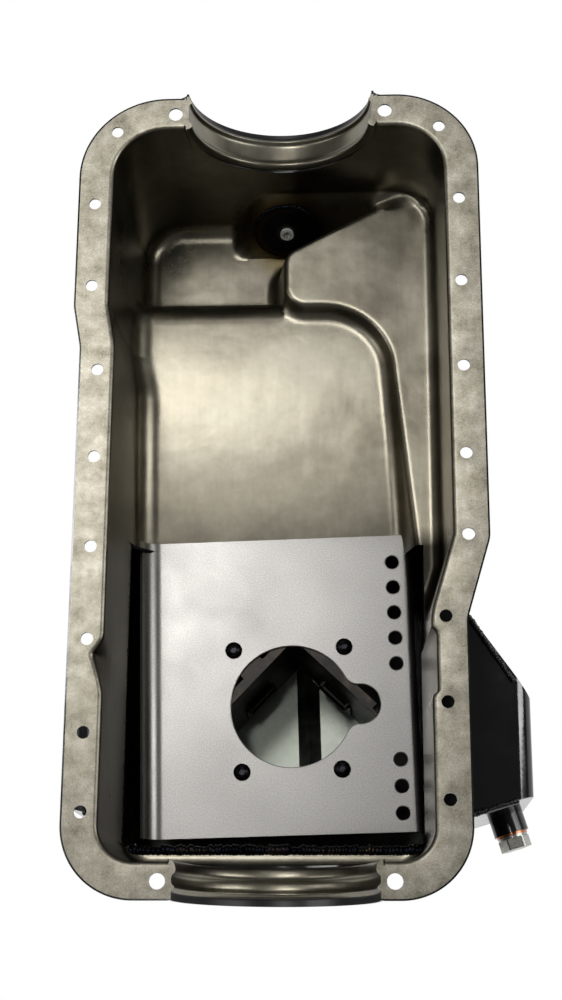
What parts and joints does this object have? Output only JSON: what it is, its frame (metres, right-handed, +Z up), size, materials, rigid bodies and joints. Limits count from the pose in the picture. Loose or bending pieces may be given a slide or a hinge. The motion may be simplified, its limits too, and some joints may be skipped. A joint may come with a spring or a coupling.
{
  "type": "engine oil pan",
  "caption": "Pressed steel oil pan with half-round seal saddles, welded rear sump with side kick-outs, trap-door baffle box, windage tray and drain plugs.",
  "frame": {"origin": "midway between the two front saddle bolt holes, on the sealing face of the rail", "axes": "+X to the right seen from above, +Y towards the front of the engine, +Z up out of the pan, towards the engine block"},
  "size_m": [0.3062, 0.527, 0.21],
  "materials": {
    "pressed_steel": "worn satin, black paint outside",
    "sump_plate": "bare mill steel",
    "kickout_plate": "gloss black paint",
    "weld_bead": "blue-black weld scale",
    "tray_steel": "satin",
    "black_steel": "black oxide",
    "zinc_steel": "zinc plated",
    "copper": "copper",
    "blued_steel": "heat-tinted scale"
  },
  "bodies": {
    "pan": {"pan_shell": "pressed_steel", "sump_left_wall": "sump_plate", "sump_right_wall": "sump_plate", "sump_rear_wall": "sump_plate", "sump_front_wall": "sump_plate", "sump_floor": "sump_plate", "right_kickout_cover": "kickout_plate", "right_kickout_front_plate": "kickout_plate", "right_kickout_rear_plate": "kickout_plate", "left_kickout_cover": "kickout_plate", "left_kickout_front_plate": "kickout_plate", "left_kickout_rear_plate": "kickout_plate", "sump_weld": "weld_bead", "right_kickout_weld": "weld_bead", "left_kickout_weld": "weld_bead", "windage_tray": "tray_steel", "tray_screws": "black_steel", "tray_nuts": "zinc_steel", "sump_floor_rib": "sump_plate", "drain_bung": "sump_plate", "drain_copper_washer": "copper", "drain_plug": "zinc_steel", "front_drain_patch": "blued_steel", "front_drain_weld": "weld_bead", "front_drain_washer": "copper", "front_drain_plug": "black_steel", "baffle_wall_front_left": "tray_steel", "door_pin_front_left": "zinc_steel", "baffle_wall_rear_left": "tray_steel", "door_pin_rear_left": "zinc_steel", "baffle_wall_rear_right": "tray_steel", "door_pin_rear_right": "zinc_steel", "baffle_wall_front_right": "tray_steel", "door_pin_front_right": "zinc_steel"},
    "front_left_door": {"trap_door_front_left": "tray_steel"},
    "rear_left_door": {"trap_door_rear_left": "tray_steel"},
    "rear_right_door": {"trap_door_rear_right": "tray_steel"},
    "front_right_door": {"trap_door_front_right": "tray_steel"}
  },
  "joints": [
    {"name": "front_left_door_hinge", "type": "hinge", "parent": "pan", "child": "front_left_door", "pos_m": [-0.01835, -0.36363, -0.168], "axis": [-0.6858, -0.7278, 0], "range_deg": [0, 30]},
    {"name": "rear_left_door_hinge", "type": "hinge", "parent": "pan", "child": "rear_left_door", "pos_m": [-0.01719, -0.41322, -0.168], "axis": [0.7278, -0.6858, 0], "range_deg": [0, 30]},
    {"name": "rear_right_door_hinge", "type": "hinge", "parent": "pan", "child": "rear_right_door", "pos_m": [0.03238, -0.41143, -0.168], "axis": [0.6858, 0.7278, 0], "range_deg": [0, 30]},
    {"name": "front_right_door_hinge", "type": "hinge", "parent": "pan", "child": "front_right_door", "pos_m": [0.03122, -0.36184, -0.168], "axis": [-0.7278, 0.6858, 0], "range_deg": [0, 30]}
  ]
}
